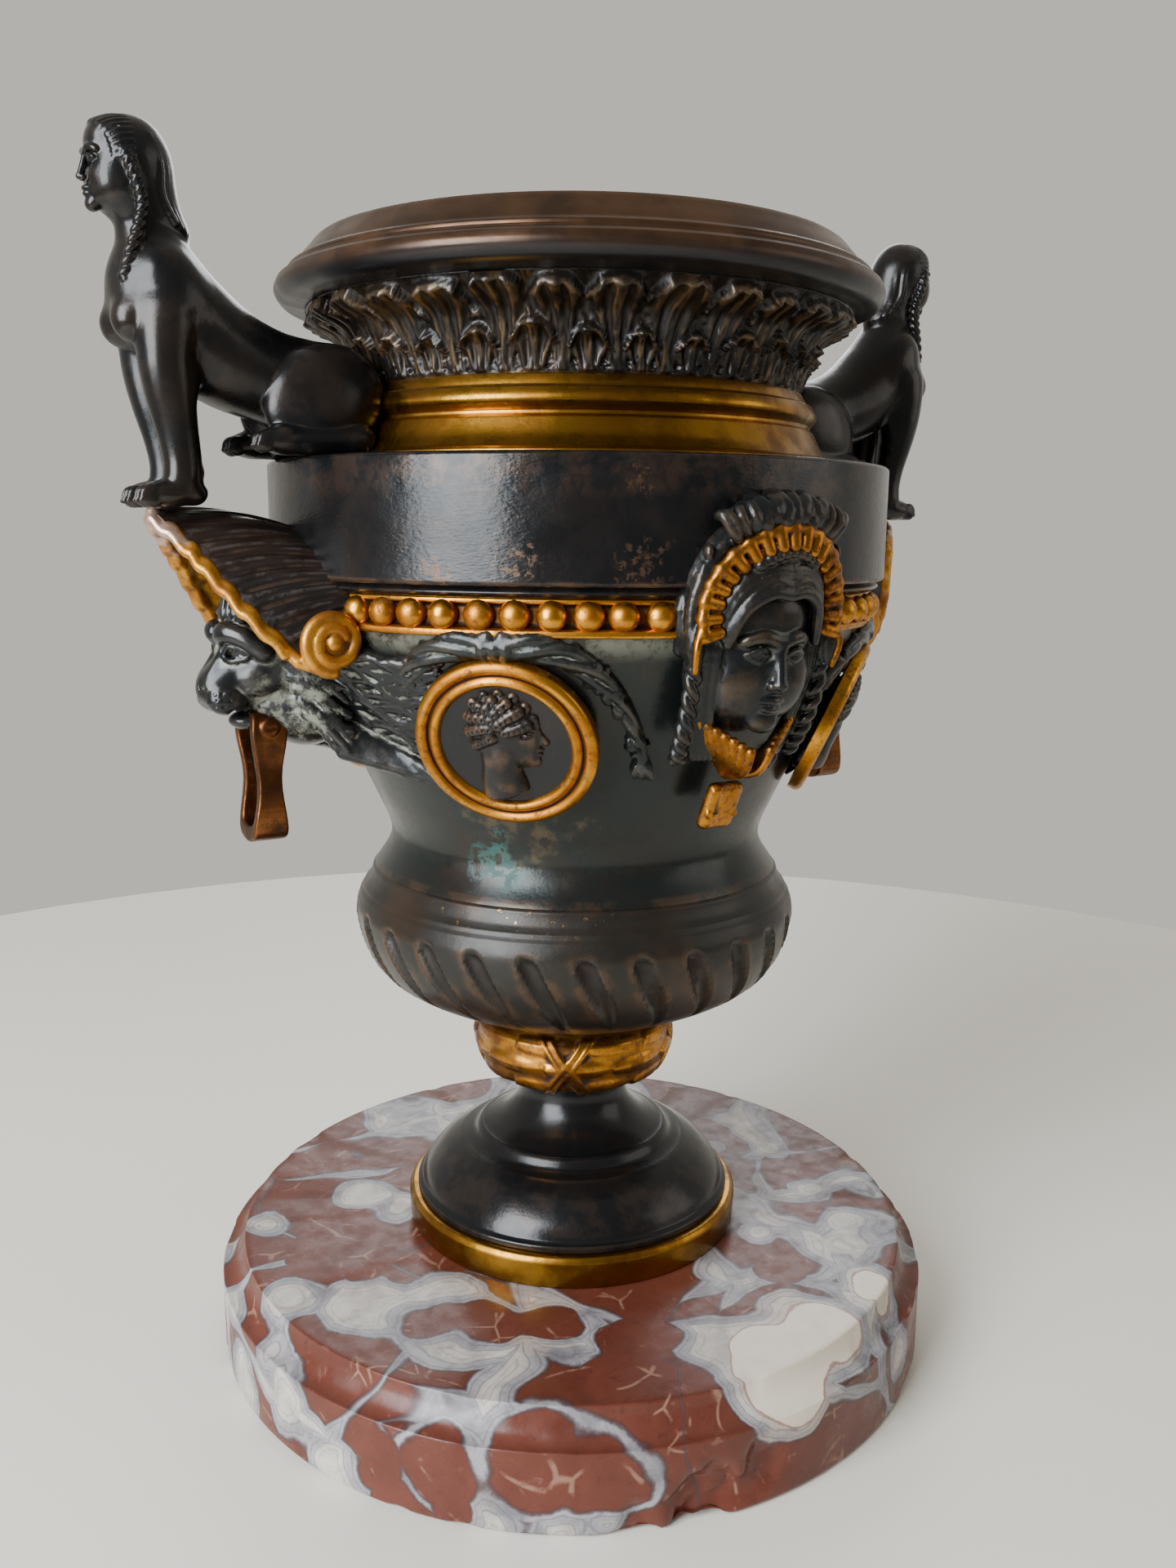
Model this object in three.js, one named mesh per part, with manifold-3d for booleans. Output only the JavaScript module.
// Bronze krater vase with sphinx handles on a round marble plinth.
// Millimetres, +Z up, origin at the middle of the plinth's underside.
// The handles stand on the X axis, the masks on the Y axis and the medallions between them.

import * as THREE from 'three';
import { mergeVertices } from 'three/addons/utils/BufferGeometryUtils.js';
import Module from 'manifold-3d';

const wasm = await Module();
wasm.setup();

// Heights of the stacked round pieces
const plinthTop = 24.4;
const ringTop = 31.8;
const footTop = 60.5;
const knopTop = 76;
const bowlTop = 112.8;
const bodyTop = 169;
const bandTop = 178.3;
const drumTop = 202.1;
const neckTop = 217.2;
const collarTop = 233.6;
const rimTop = 247;

// Radii of the stacked round pieces
const plinthRadius = 84.2;
const plinthShoulder = { width: 5.1, drop: 6.4 };
const ringRadius = 39.9;
const footRadius = 37.8;
const stemRadius = 12.8;
const knopRadius = 23.5;
const bowlRadius = 51.1;
const waistRadius = 42.7;
const bodyTopRadius = 64.5;
const bandRadius = 67.2;
const drumRadius = 68;
const neckBaseRadius = 56;
const neckRadius = 48;
const rimRadius = 65.5;
const mouthRadius = 50;

// Walls and fits
const castWall = 3.2;
const drumWall = 4;
const throatRadius = 44.4;
const gap = 0.3;
const edge = 0.8;

// Carving
const fluteCount = 27;
const fluteDepth = 1.5;
const fluteTwist = 0.21;
const leafCount = 30;
const leafDepth = 1.6;

// Medallions
const medallionRadius = 18;
const medallionThickness = 2.4;
const medallionHeight = 147.9;
const medallionReach = 58.6;
const medallionLean = THREE.MathUtils.degToRad(24);

// Mouth rings
const loopTop = 152.8;
const loopBottom = 126;
const loopWidth = 12;
const loopBar = 2.2;
const loopDepth = 7;
const loopReach = 75;

const roundSteps = 24;
const footSteps = 20;
const plinthSteps = 32;
const mergeDistance = 1e-4;

const finishes = {
  marble: { color: 0x8a5346, roughness: 0.35, metalness: 0 },
  gilt: { color: 0xb07a26, roughness: 0.35, metalness: 1 },
  black: { color: 0x23211f, roughness: 0.4, metalness: 0.7 },
  green: { color: 0x1f2623, roughness: 0.45, metalness: 0.7 },
  brown: { color: 0x6b4630, roughness: 0.4, metalness: 0.9 },
};

// Outline helpers: points are [radius, height] pairs
function straight(...pairs) {
  return pairs.map(([radius, height]) => new THREE.Vector2(radius, height));
}

function smooth(steps, ...pairs) {
  return new THREE.SplineCurve(straight(...pairs)).getPoints(steps);
}

function ringOutline(points) {
  return [...points, points[0].clone()];
}

// Joins repeated vertices, drops collapsed triangles and turns the faces outward
function closedBody(geometry) {
  const bare = geometry.clone();
  bare.deleteAttribute('normal');
  bare.deleteAttribute('uv');
  const merged = mergeVertices(bare, mergeDistance);
  const spots = merged.getAttribute('position');
  const corners = [0, 1, 2].map(() => new THREE.Vector3());
  const kept = [];
  let volume = 0;
  for (let i = 0; i < merged.index.count; i += 3) {
    const triangle = [0, 1, 2].map((k) => merged.index.getX(i + k));
    if (new Set(triangle).size < 3) continue;
    triangle.forEach((vertex, k) => corners[k].fromBufferAttribute(spots, vertex));
    volume += corners[0].dot(corners[1].clone().cross(corners[2]));
    kept.push(triangle);
  }
  merged.setIndex(kept.flatMap(([a, b, c]) => (volume > 0 ? [a, b, c] : [a, c, b])));
  merged.computeVertexNormals();
  return merged;
}

function solidOf(geometry) {
  const body = closedBody(geometry);
  return new wasm.Manifold(new wasm.Mesh({
    numProp: 3,
    vertProperties: new Float32Array(body.getAttribute('position').array),
    triVerts: new Uint32Array(body.index.array),
  }));
}

function geometryOf(solid) {
  const { vertProperties, triVerts } = solid.getMesh();
  const geometry = new THREE.BufferGeometry();
  geometry.setAttribute('position', new THREE.BufferAttribute(vertProperties, 3));
  geometry.setIndex(new THREE.BufferAttribute(triVerts, 1));
  return closedBody(geometry);
}

function joined(...geometries) {
  return geometries.map(solidOf).reduce((whole, piece) => whole.add(piece));
}

// A body of revolution; carve(angle, height, radius) returns a push outward and a turn
function turned(points, steps = roundSteps, carve = null) {
  const geometry = new THREE.LatheGeometry(points, steps);
  geometry.rotateX(Math.PI / 2);
  const body = closedBody(geometry);
  if (!carve) return body;
  const spots = body.getAttribute('position');
  for (let i = 0; i < spots.count; i += 1) {
    const [x, y, z] = [spots.getX(i), spots.getY(i), spots.getZ(i)];
    const angle = Math.atan2(y, x);
    const radius = Math.hypot(x, y);
    const { push, turn } = carve(angle, z, radius);
    spots.setXYZ(i, (radius + push) * Math.cos(angle + turn), (radius + push) * Math.sin(angle + turn), z);
  }
  return body;
}

function ellipsoid([x, y, z], [rx, ry, rz], tilt = 0) {
  const geometry = new THREE.SphereGeometry(1, 7, 4);
  geometry.scale(rx, ry, rz);
  geometry.rotateY(tilt);
  geometry.translate(x, y, z);
  return geometry;
}

// A closed body through oval sections: each station is [x, z, half width, half height]
function limb(stations, side = 0, sides = 6) {
  const path = new THREE.CatmullRomCurve3(stations.map(([x, z]) => new THREE.Vector3(x, side, z)));
  const spots = [];
  const faces = [];
  stations.forEach(([, , width, height], i) => {
    const t = i / (stations.length - 1);
    const middle = path.getPoint(t);
    const along = path.getTangent(t);
    const across = new THREE.Vector3(-along.z, 0, along.x);
    for (let k = 0; k < sides; k += 1) {
      const turn = (2 * Math.PI * k) / sides;
      const spot = middle.clone().addScaledVector(across, height * Math.sin(turn));
      spots.push(spot.x, spot.y + width * Math.cos(turn), spot.z);
    }
  });
  const last = stations.length - 1;
  for (let k = 0; k < sides; k += 1) {
    const next = (k + 1) % sides;
    for (let i = 0; i < last; i += 1) {
      const [a, b] = [i * sides + k, i * sides + next];
      faces.push(a, b, b + sides, a, b + sides, a + sides);
    }
    if (k > 0 && k < sides - 1) {
      faces.push(0, next, k);
      faces.push(last * sides, last * sides + k, last * sides + next);
    }
  }
  const geometry = new THREE.BufferGeometry();
  geometry.setAttribute('position', new THREE.Float32BufferAttribute(spots, 3));
  geometry.setIndex(faces);
  return geometry;
}

// A curved plate of even thickness; pointAt(s, t) gives its upper face for s and t in 0..1
function plate(pointAt, thickness, rows, columns) {
  const spots = [];
  const faces = [];
  const step = 1e-3;
  const stride = columns + 1;
  const under = (rows + 1) * stride;
  const lower = [];
  for (let i = 0; i <= rows; i += 1) {
    for (let j = 0; j <= columns; j += 1) {
      const [s, t] = [i / rows, j / columns];
      const spot = pointAt(s, t);
      const alongS = pointAt(Math.min(s + step, 1), t).sub(pointAt(Math.max(s - step, 0), t));
      const alongT = pointAt(s, Math.min(t + step, 1)).sub(pointAt(s, Math.max(t - step, 0)));
      const normal = alongS.cross(alongT).normalize();
      spots.push(spot.x, spot.y, spot.z);
      lower.push(...spot.clone().addScaledVector(normal, -thickness).toArray());
    }
  }
  const quad = (a, b, c, d) => faces.push(a, b, c, a, c, d);
  for (let i = 0; i < rows; i += 1) {
    for (let j = 0; j < columns; j += 1) {
      const a = i * stride + j;
      quad(a, a + stride, a + stride + 1, a + 1);
      quad(under + a, under + a + 1, under + a + stride + 1, under + a + stride);
    }
  }
  const rimWalk = [];
  for (let j = 0; j < columns; j += 1) rimWalk.push(j);
  for (let i = 0; i < rows; i += 1) rimWalk.push(i * stride + columns);
  for (let j = columns; j > 0; j -= 1) rimWalk.push(rows * stride + j);
  for (let i = rows; i > 0; i -= 1) rimWalk.push(i * stride);
  rimWalk.forEach((a, k) => {
    const b = rimWalk[(k + 1) % rimWalk.length];
    quad(a, b, under + b, under + a);
  });
  const geometry = new THREE.BufferGeometry();
  geometry.setAttribute('position', new THREE.Float32BufferAttribute([...spots, ...lower], 3));
  geometry.setIndex(faces);
  return geometry;
}

// Outer lines shared by the walls and by what is fitted against them
const bodyLine = smooth(
  7,
  [46.6, bowlTop],
  [waistRadius, 120.5],
  [46.2, 130.5],
  [54.8, 148],
  [61.8, 162],
  [bodyTopRadius, bodyTop],
);
const neckLine = [
  ...smooth(2, [neckBaseRadius, drumTop + edge], [53.4, 205.4], [51.2, 209.4]),
  ...smooth(2, [50.6, 210.5], [51.4, 213.2], [neckRadius + edge, neckTop]),
];
const collarLine = smooth(3, [neckRadius, neckTop], [49.2, 222], [53, 228.5], [59.2, collarTop]);

// Every second point of a line, moved in by the wall and walked backward
function inward(line, wall) {
  return line.filter((_, i) => i % 2 === 1).map(({ x, y }) => new THREE.Vector2(x - wall, y)).reverse();
}

// What stands against the vase is cut clear of this plain outline around it
function clearance() {
  const spare = 3 * gap;
  const below = 124;
  const outline = straight(
    [0, below],
    [waistRadius + 2, below],
    [46.2 + spare, 130.5],
    [bodyTopRadius + spare, bodyTop - gap],
    [drumRadius + gap, bodyTop - gap],
    [drumRadius + gap, drumTop + gap],
    [neckBaseRadius + gap, drumTop + gap],
    [51.4 + spare, 208.8],
    [51.4 + spare, neckTop],
    [53 + leafDepth + spare, 228.5],
    [59.2 + leafDepth + spare, collarTop],
    [0, collarTop],
  );
  return solidOf(turned(outline));
}

function marblePlinth() {
  const { width, drop } = plinthShoulder;
  const coveSteps = 3;
  const cove = [];
  for (let i = 0; i <= coveSteps; i += 1) {
    const turn = (Math.PI / 2) * (i / coveSteps);
    cove.push([plinthRadius - width * Math.sin(turn), plinthTop - drop * Math.cos(turn)]);
  }
  const outline = straight([0, 0], [plinthRadius - edge, 0], [plinthRadius, edge], ...cove, [0, plinthTop]);
  return turned(outline, plinthSteps);
}

function footRing() {
  return turned(straight(
    [0, plinthTop],
    [ringRadius, plinthTop],
    [ringRadius, ringTop - edge],
    [ringRadius - edge, ringTop],
    [0, ringTop],
  ));
}

function foot() {
  const bellTop = 43.6;
  const stepHeight = 46.9;
  return turned([
    ...straight([0, ringTop], [footRadius, ringTop], [footRadius, ringTop + 1.8]),
    ...smooth(2, [footRadius - 1, ringTop + 1.8], [34.4, 37.5], [26.8, bellTop]),
    ...straight([23.4, bellTop + 1], [22.8, stepHeight]),
    ...smooth(2, [21.6, stepHeight + 0.3], [15.5, 50.6], [stemRadius, 55.5], [stemRadius + 0.6, footTop]),
    ...straight([0, footTop]),
  ], footSteps);
}

function wreathKnop() {
  return turned([
    ...straight([0, footTop]),
    ...smooth(5, [15.5, footTop], [20.6, 62.6], [knopRadius, 68.4], [22.8, 73.2], [20.8, knopTop]),
    ...straight([0, knopTop]),
  ], footSteps);
}

// Slanting hollows in the outer face, which lies beyond the inner radius
function flute(angle, height, radius) {
  const fluteTop = 104.2;
  const fluteFoot = 84;
  const innerRadius = 43;
  const along = THREE.MathUtils.clamp((fluteTop - height) / (fluteTop - fluteFoot), 0, 1);
  const wave = radius < innerRadius ? 0 : 0.5 + 0.5 * Math.cos(fluteCount * angle);
  return { push: -fluteDepth * wave * Math.sin(Math.PI * along) ** 0.6, turn: fluteTwist * along };
}

function flutedBowl() {
  const outer = smooth(
    5,
    [20.8, knopTop],
    [35, 82],
    [44.6, 87.6],
    [49.4, 94.6],
    [bowlRadius, 102.4],
    [49.6, 108],
    [46.8, bowlTop - edge],
  );
  const inner = smooth(2, [43.2, bowlTop], [46.4, 104.6], [42, 91], [20, 81.6]);
  const outline = [...straight([0, knopTop]), ...outer, ...inner, ...straight([0, 80.6])];
  return turned(outline, 2 * fluteCount, flute);
}

function vaseBody() {
  return turned(ringOutline([...bodyLine, ...inward(bodyLine, castWall)]));
}

function beadBand() {
  const ledge = bodyTopRadius + 1.2;
  return turned(ringOutline([
    ...straight([bodyTopRadius - castWall, bodyTop], [ledge, bodyTop], [ledge, bodyTop + 1.6]),
    ...smooth(2, [ledge - 0.4, bodyTop + 1.8], [bandRadius, 173.1], [ledge - 0.4, 175.5]),
    ...straight([bandRadius - 0.4, bandTop], [bodyTopRadius - castWall, bandTop]),
  ]));
}

function drum() {
  const inside = drumRadius - drumWall;
  return turned(ringOutline(straight(
    [inside, bandTop],
    [drumRadius, bandTop],
    [drumRadius, drumTop - edge],
    [drumRadius - edge, drumTop],
    [throatRadius, drumTop],
    [throatRadius, drumTop - drumWall],
    [inside, drumTop - drumWall],
  )));
}

function neckRing() {
  return turned(ringOutline([
    ...straight([throatRadius, drumTop], [neckBaseRadius, drumTop]),
    ...neckLine,
    ...straight([throatRadius, neckTop]),
  ]));
}

// Tall leaves that stand out most near their tips
function leaf(angle, height, radius) {
  const along = Math.max(0, (height - neckTop) / (collarTop - neckTop));
  const outside = radius > neckRadius - 0.5 + 3.2 * along;
  const swell = Math.abs(Math.cos((leafCount * angle) / 2)) * Math.sin(Math.PI * along ** 1.6);
  return { push: outside ? leafDepth * Math.max(swell, 0) : 0, turn: 0 };
}

function leafCollar() {
  return turned(ringOutline([
    ...collarLine,
    ...straight([mouthRadius, collarTop], [throatRadius, neckTop]),
  ]), 2 * leafCount, leaf);
}

function rim() {
  const stepHeight = 239.8;
  return turned(ringOutline([
    ...straight([mouthRadius, collarTop], [58.6, collarTop]),
    ...smooth(2, [61, collarTop + 0.4], [rimRadius, 236.8], [63.8, stepHeight]),
    ...smooth(2, [62.4, stepHeight + 0.3], [60.8, 242.2], [58.2, 244], [57.4, rimTop - edge]),
    ...straight([56.4, rimTop], [mouthRadius, rimTop]),
  ]));
}

// What follows faces along +X and is turned into place afterwards

// A seated sphinx on the drum's edge, its forepaws on the wing hood
function sphinx(clear) {
  const pawSide = 4.6;
  const thighSide = 8;
  const torso = limb([
    [50, 211.5, 5, 5],
    [55, 214.6, 8.4, 8.4],
    [63, 215.8, 8.6, 8.4],
    [73, 217.4, 8.2, 8.4],
    [81, 220.6, 8.8, 10],
    [88.5, 225.4, 9.6, 11.4],
    [93, 232, 8.8, 8.4],
    [92.6, 238.6, 5.8, 5.4],
    [93.8, 246, 5.2, 5],
  ], 0, 7);
  const head = ellipsoid([96.4, 0, 251.6], [7.8, 6.4, 8.8]);
  const hair = ellipsoid([93.2, 0, 252.2], [6.8, 7.2, 8.2]);
  const fall = limb([[90.4, 252, 6.6, 4], [89.8, 246, 6.2, 3.6], [87.6, 240.6, 4.4, 2.4]]);
  const legs = [-pawSide, pawSide].map((side) => limb([
    [92.5, 226, 4.6, 5.6],
    [91.4, 214, 3.6, 4.4],
    [89.2, 202, 2.8, 3.2],
    [91, 195.4, 3.2, 3.2],
    [98.6, 193.8, 3, 1.8],
  ], side));
  const haunches = [-thighSide, thighSide].flatMap((side) => [
    ellipsoid([63.5, side, 213.4], [11, 4.6, 9.6], 0.25),
    ellipsoid([68.4, side + Math.sign(side), 204.8], [9.4, 3.2, 2.5]),
  ]);
  return geometryOf(joined(torso, head, hair, fall, ...legs, ...haunches).subtract(clear));
}

// A fluted shell arching over the lion's head, with a scroll at each lower end
function wingHood(clear) {
  const apex = 190.4;
  const scrollSide = 19.4;
  const frontEdge = new THREE.CatmullRomCurve3([
    [71.6, -18.4, 163],
    [79.2, -15, 170.6],
    [85.4, -10, 178.6],
    [90, -5.4, 185.4],
    [94.8, 0, apex],
    [90, 5.4, 185.4],
    [85.4, 10, 178.6],
    [79.2, 15, 170.6],
    [71.6, 18.4, 163],
  ].map((spot) => new THREE.Vector3(...spot)));
  const backEdge = new THREE.CatmullRomCurve3([
    [58, -19.5, 171],
    [62, -15, 181],
    [65, 0, 187.4],
    [62, 15, 181],
    [58, 19.5, 171],
  ].map((spot) => new THREE.Vector3(...spot)));
  const pointAt = (s, t) => {
    const spot = backEdge.getPoint(t).lerp(frontEdge.getPoint(t), s);
    spot.z += 1.6 * Math.sin(Math.PI * s) * Math.sin(Math.PI * t);
    return spot;
  };
  const shell = plate(pointAt, 1.9, 2, 10);
  const scrolls = [-scrollSide, scrollSide].map((side) => {
    const scroll = new THREE.CylinderGeometry(5.6, 5.6, 4.6, 10);
    scroll.translate(67.4, side, 166.6);
    return scroll;
  });
  return geometryOf(joined(shell, ...scrolls).subtract(clear));
}

// An upright loop with a slight waist
function loopOutline(halfWidth, top, bottom) {
  const middle = (top + bottom) / 2;
  const half = [[0.86, top - 1.2], [0.8, middle + 2], [1, bottom + 4]];
  const left = half.map(([share, height]) => [-share * halfWidth, height]);
  const right = half.map(([share, height]) => [share * halfWidth, height]).reverse();
  return smooth(16, [0, top], ...left, [0, bottom], ...right, [0, top]).slice(0, -1);
}

// The loop hangs in the lion's mouth; spare grows its bar all round
function mouthRing(spare = 0) {
  const shape = new THREE.Shape(loopOutline(loopWidth / 2 + spare, loopTop + spare, loopBottom - spare));
  const inside = loopWidth / 2 - loopBar - spare;
  const bar = loopBar + spare;
  shape.holes.push(new THREE.Path(loopOutline(inside, loopTop - bar, loopBottom + bar)));
  const depth = loopDepth + 2 * spare;
  const geometry = new THREE.ExtrudeGeometry(shape, { depth, bevelEnabled: false });
  geometry.translate(0, 0, -depth / 2);
  geometry.rotateY(Math.PI / 2);
  geometry.rotateX(Math.PI / 2);
  geometry.translate(loopReach, 0, 0);
  return closedBody(geometry);
}

function lionHead(clear) {
  const sides = [-1, 1];
  const whole = joined(
    ellipsoid([70.5, 0, 163.4], [12, 11, 10.2]),
    ellipsoid([81, 0, 157], [6.2, 6.2, 5.6]),
    limb([[76, 168, 4.4, 4], [82.6, 163.4, 3.2, 2.6], [86.4, 158.6, 2.4, 2]]),
    ellipsoid([71.6, 0, 152.6], [6.4, 5.4, 3.8]),
    ...sides.map((side) => ellipsoid([65, 11 * side, 158], [7.6, 5.2, 11])),
  );
  return geometryOf(whole.subtract(solidOf(mouthRing(gap))).subtract(clear));
}

// A head in an animal skin, with braids, a knotted bib and a tab below
function mask(clear) {
  const sides = [-1, 1];
  const tab = new THREE.BoxGeometry(5.4, 7.4, 12);
  tab.rotateY(medallionLean);
  tab.translate(53, 0, 135.6);
  const face = ellipsoid([64, 0, 166.5], [10.6, 11.4, 16.5]);
  const nose = ellipsoid([73.2, 0, 163.6], [2.4, 2.2, 4.6], 0.3);
  const skin = ellipsoid([63, 0, 176], [9.6, 15.6, 14.6]);
  const tuft = ellipsoid([66.6, 0, 190], [6.2, 15, 5.2]);
  const backing = ellipsoid([57, 0, 158], [9.5, 14.4, 14]);
  const bib = limb([[62, 150, 7, 5], [58.6, 144, 8.8, 4.6], [54.6, 137.5, 4.6, 3.6]]);
  const braids = sides.map((side) => limb(
    [[66, 177, 3, 3.2], [65.4, 162, 3.2, 3.2], [62, 147.6, 2.6, 2.6]],
    14.2 * side,
  ));
  return geometryOf(joined(face, nose, skin, tuft, backing, bib, tab, ...braids).subtract(clear));
}

// A flat framed disc leaning with the wall behind it
function medallion() {
  const frame = 3.6;
  const disc = turned(straight(
    [0, -medallionThickness],
    [medallionRadius, -medallionThickness],
    [medallionRadius, -edge],
    [medallionRadius - frame / 2, 0],
    [medallionRadius - frame, -edge],
    [0, -edge],
  ), 18);
  disc.rotateY(Math.PI / 2 + medallionLean);
  disc.translate(medallionReach, 0, medallionHeight);
  return disc;
}

const vase = new THREE.Group();

function place(name, geometry, finish, turn = 0) {
  const mesh = new THREE.Mesh(geometry, new THREE.MeshStandardMaterial(finishes[finish]));
  mesh.name = name;
  const holder = new THREE.Group();
  holder.rotation.z = turn;
  holder.add(mesh);
  vase.add(holder);
}

place('marble_plinth', marblePlinth(), 'marble');
place('foot_ring', footRing(), 'gilt');
place('foot', foot(), 'black');
place('wreath_knop', wreathKnop(), 'gilt');
place('fluted_bowl', flutedBowl(), 'green');
place('body', vaseBody(), 'green');
place('bead_band', beadBand(), 'gilt');
place('drum', drum(), 'black');
place('neck_ring', neckRing(), 'gilt');
place('leaf_collar', leafCollar(), 'brown');
place('rim', rim(), 'brown');

const clear = clearance();
const handles = [['right', 0], ['left', Math.PI]];
for (const [side, turn] of handles) {
  place(`sphinx_${side}`, sphinx(clear), 'black', turn);
  place(`wing_hood_${side}`, wingHood(clear), 'gilt', turn);
  place(`lion_head_${side}`, lionHead(clear), 'black', turn);
  place(`mouth_ring_${side}`, mouthRing(), 'brown', turn);
}

const masks = [['front', -Math.PI / 2], ['back', Math.PI / 2]];
for (const [side, turn] of masks) {
  place(`mask_${side}`, mask(clear), 'green', turn);
}

for (let i = 0; i < 4; i += 1) {
  place(`medallion_${i + 1}`, medallion(), 'gilt', Math.PI * (i / 2 + 0.25));
}

export default vase;
